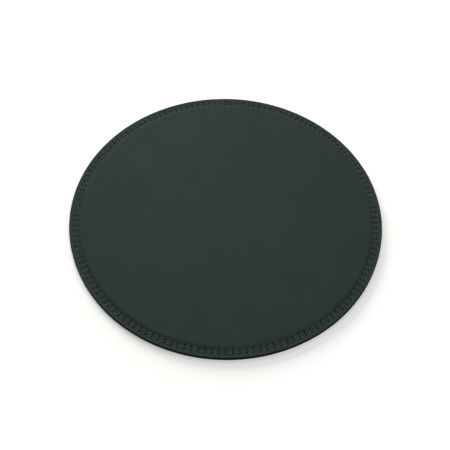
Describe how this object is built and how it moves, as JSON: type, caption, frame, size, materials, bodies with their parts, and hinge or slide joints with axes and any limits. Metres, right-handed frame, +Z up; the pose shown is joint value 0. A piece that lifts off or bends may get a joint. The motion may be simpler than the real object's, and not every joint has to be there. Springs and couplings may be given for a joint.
{
  "type": "mouse pad",
  "caption": "Round leather mouse pad with a padded field, double-stitched border, painted cut edge, fibre stiffener and non-slip base.",
  "frame": {"origin": "centre of the underside, on the desk", "axes": "+Z up out of the working face; -Y towards the user, as in the picture"},
  "size_m": [0.22, 0.22, 0.0034],
  "materials": {
    "leather": "smooth matte dark green",
    "foam": "open-cell foam",
    "fibreboard": "bonded leather fibre",
    "microfibre": "napped",
    "edge_paint": "satin",
    "thread": "twisted polyester"
  },
  "bodies": {
    "root": {"base_sheet": "microfibre", "stiffener_board": "fibreboard", "foam_padding": "foam", "top_cover": "leather", "edge_coating": "edge_paint", "outer_needle_thread": "thread", "inner_needle_thread": "thread", "outer_bobbin_thread": "thread", "inner_bobbin_thread": "thread"}
  },
  "joints": []
}
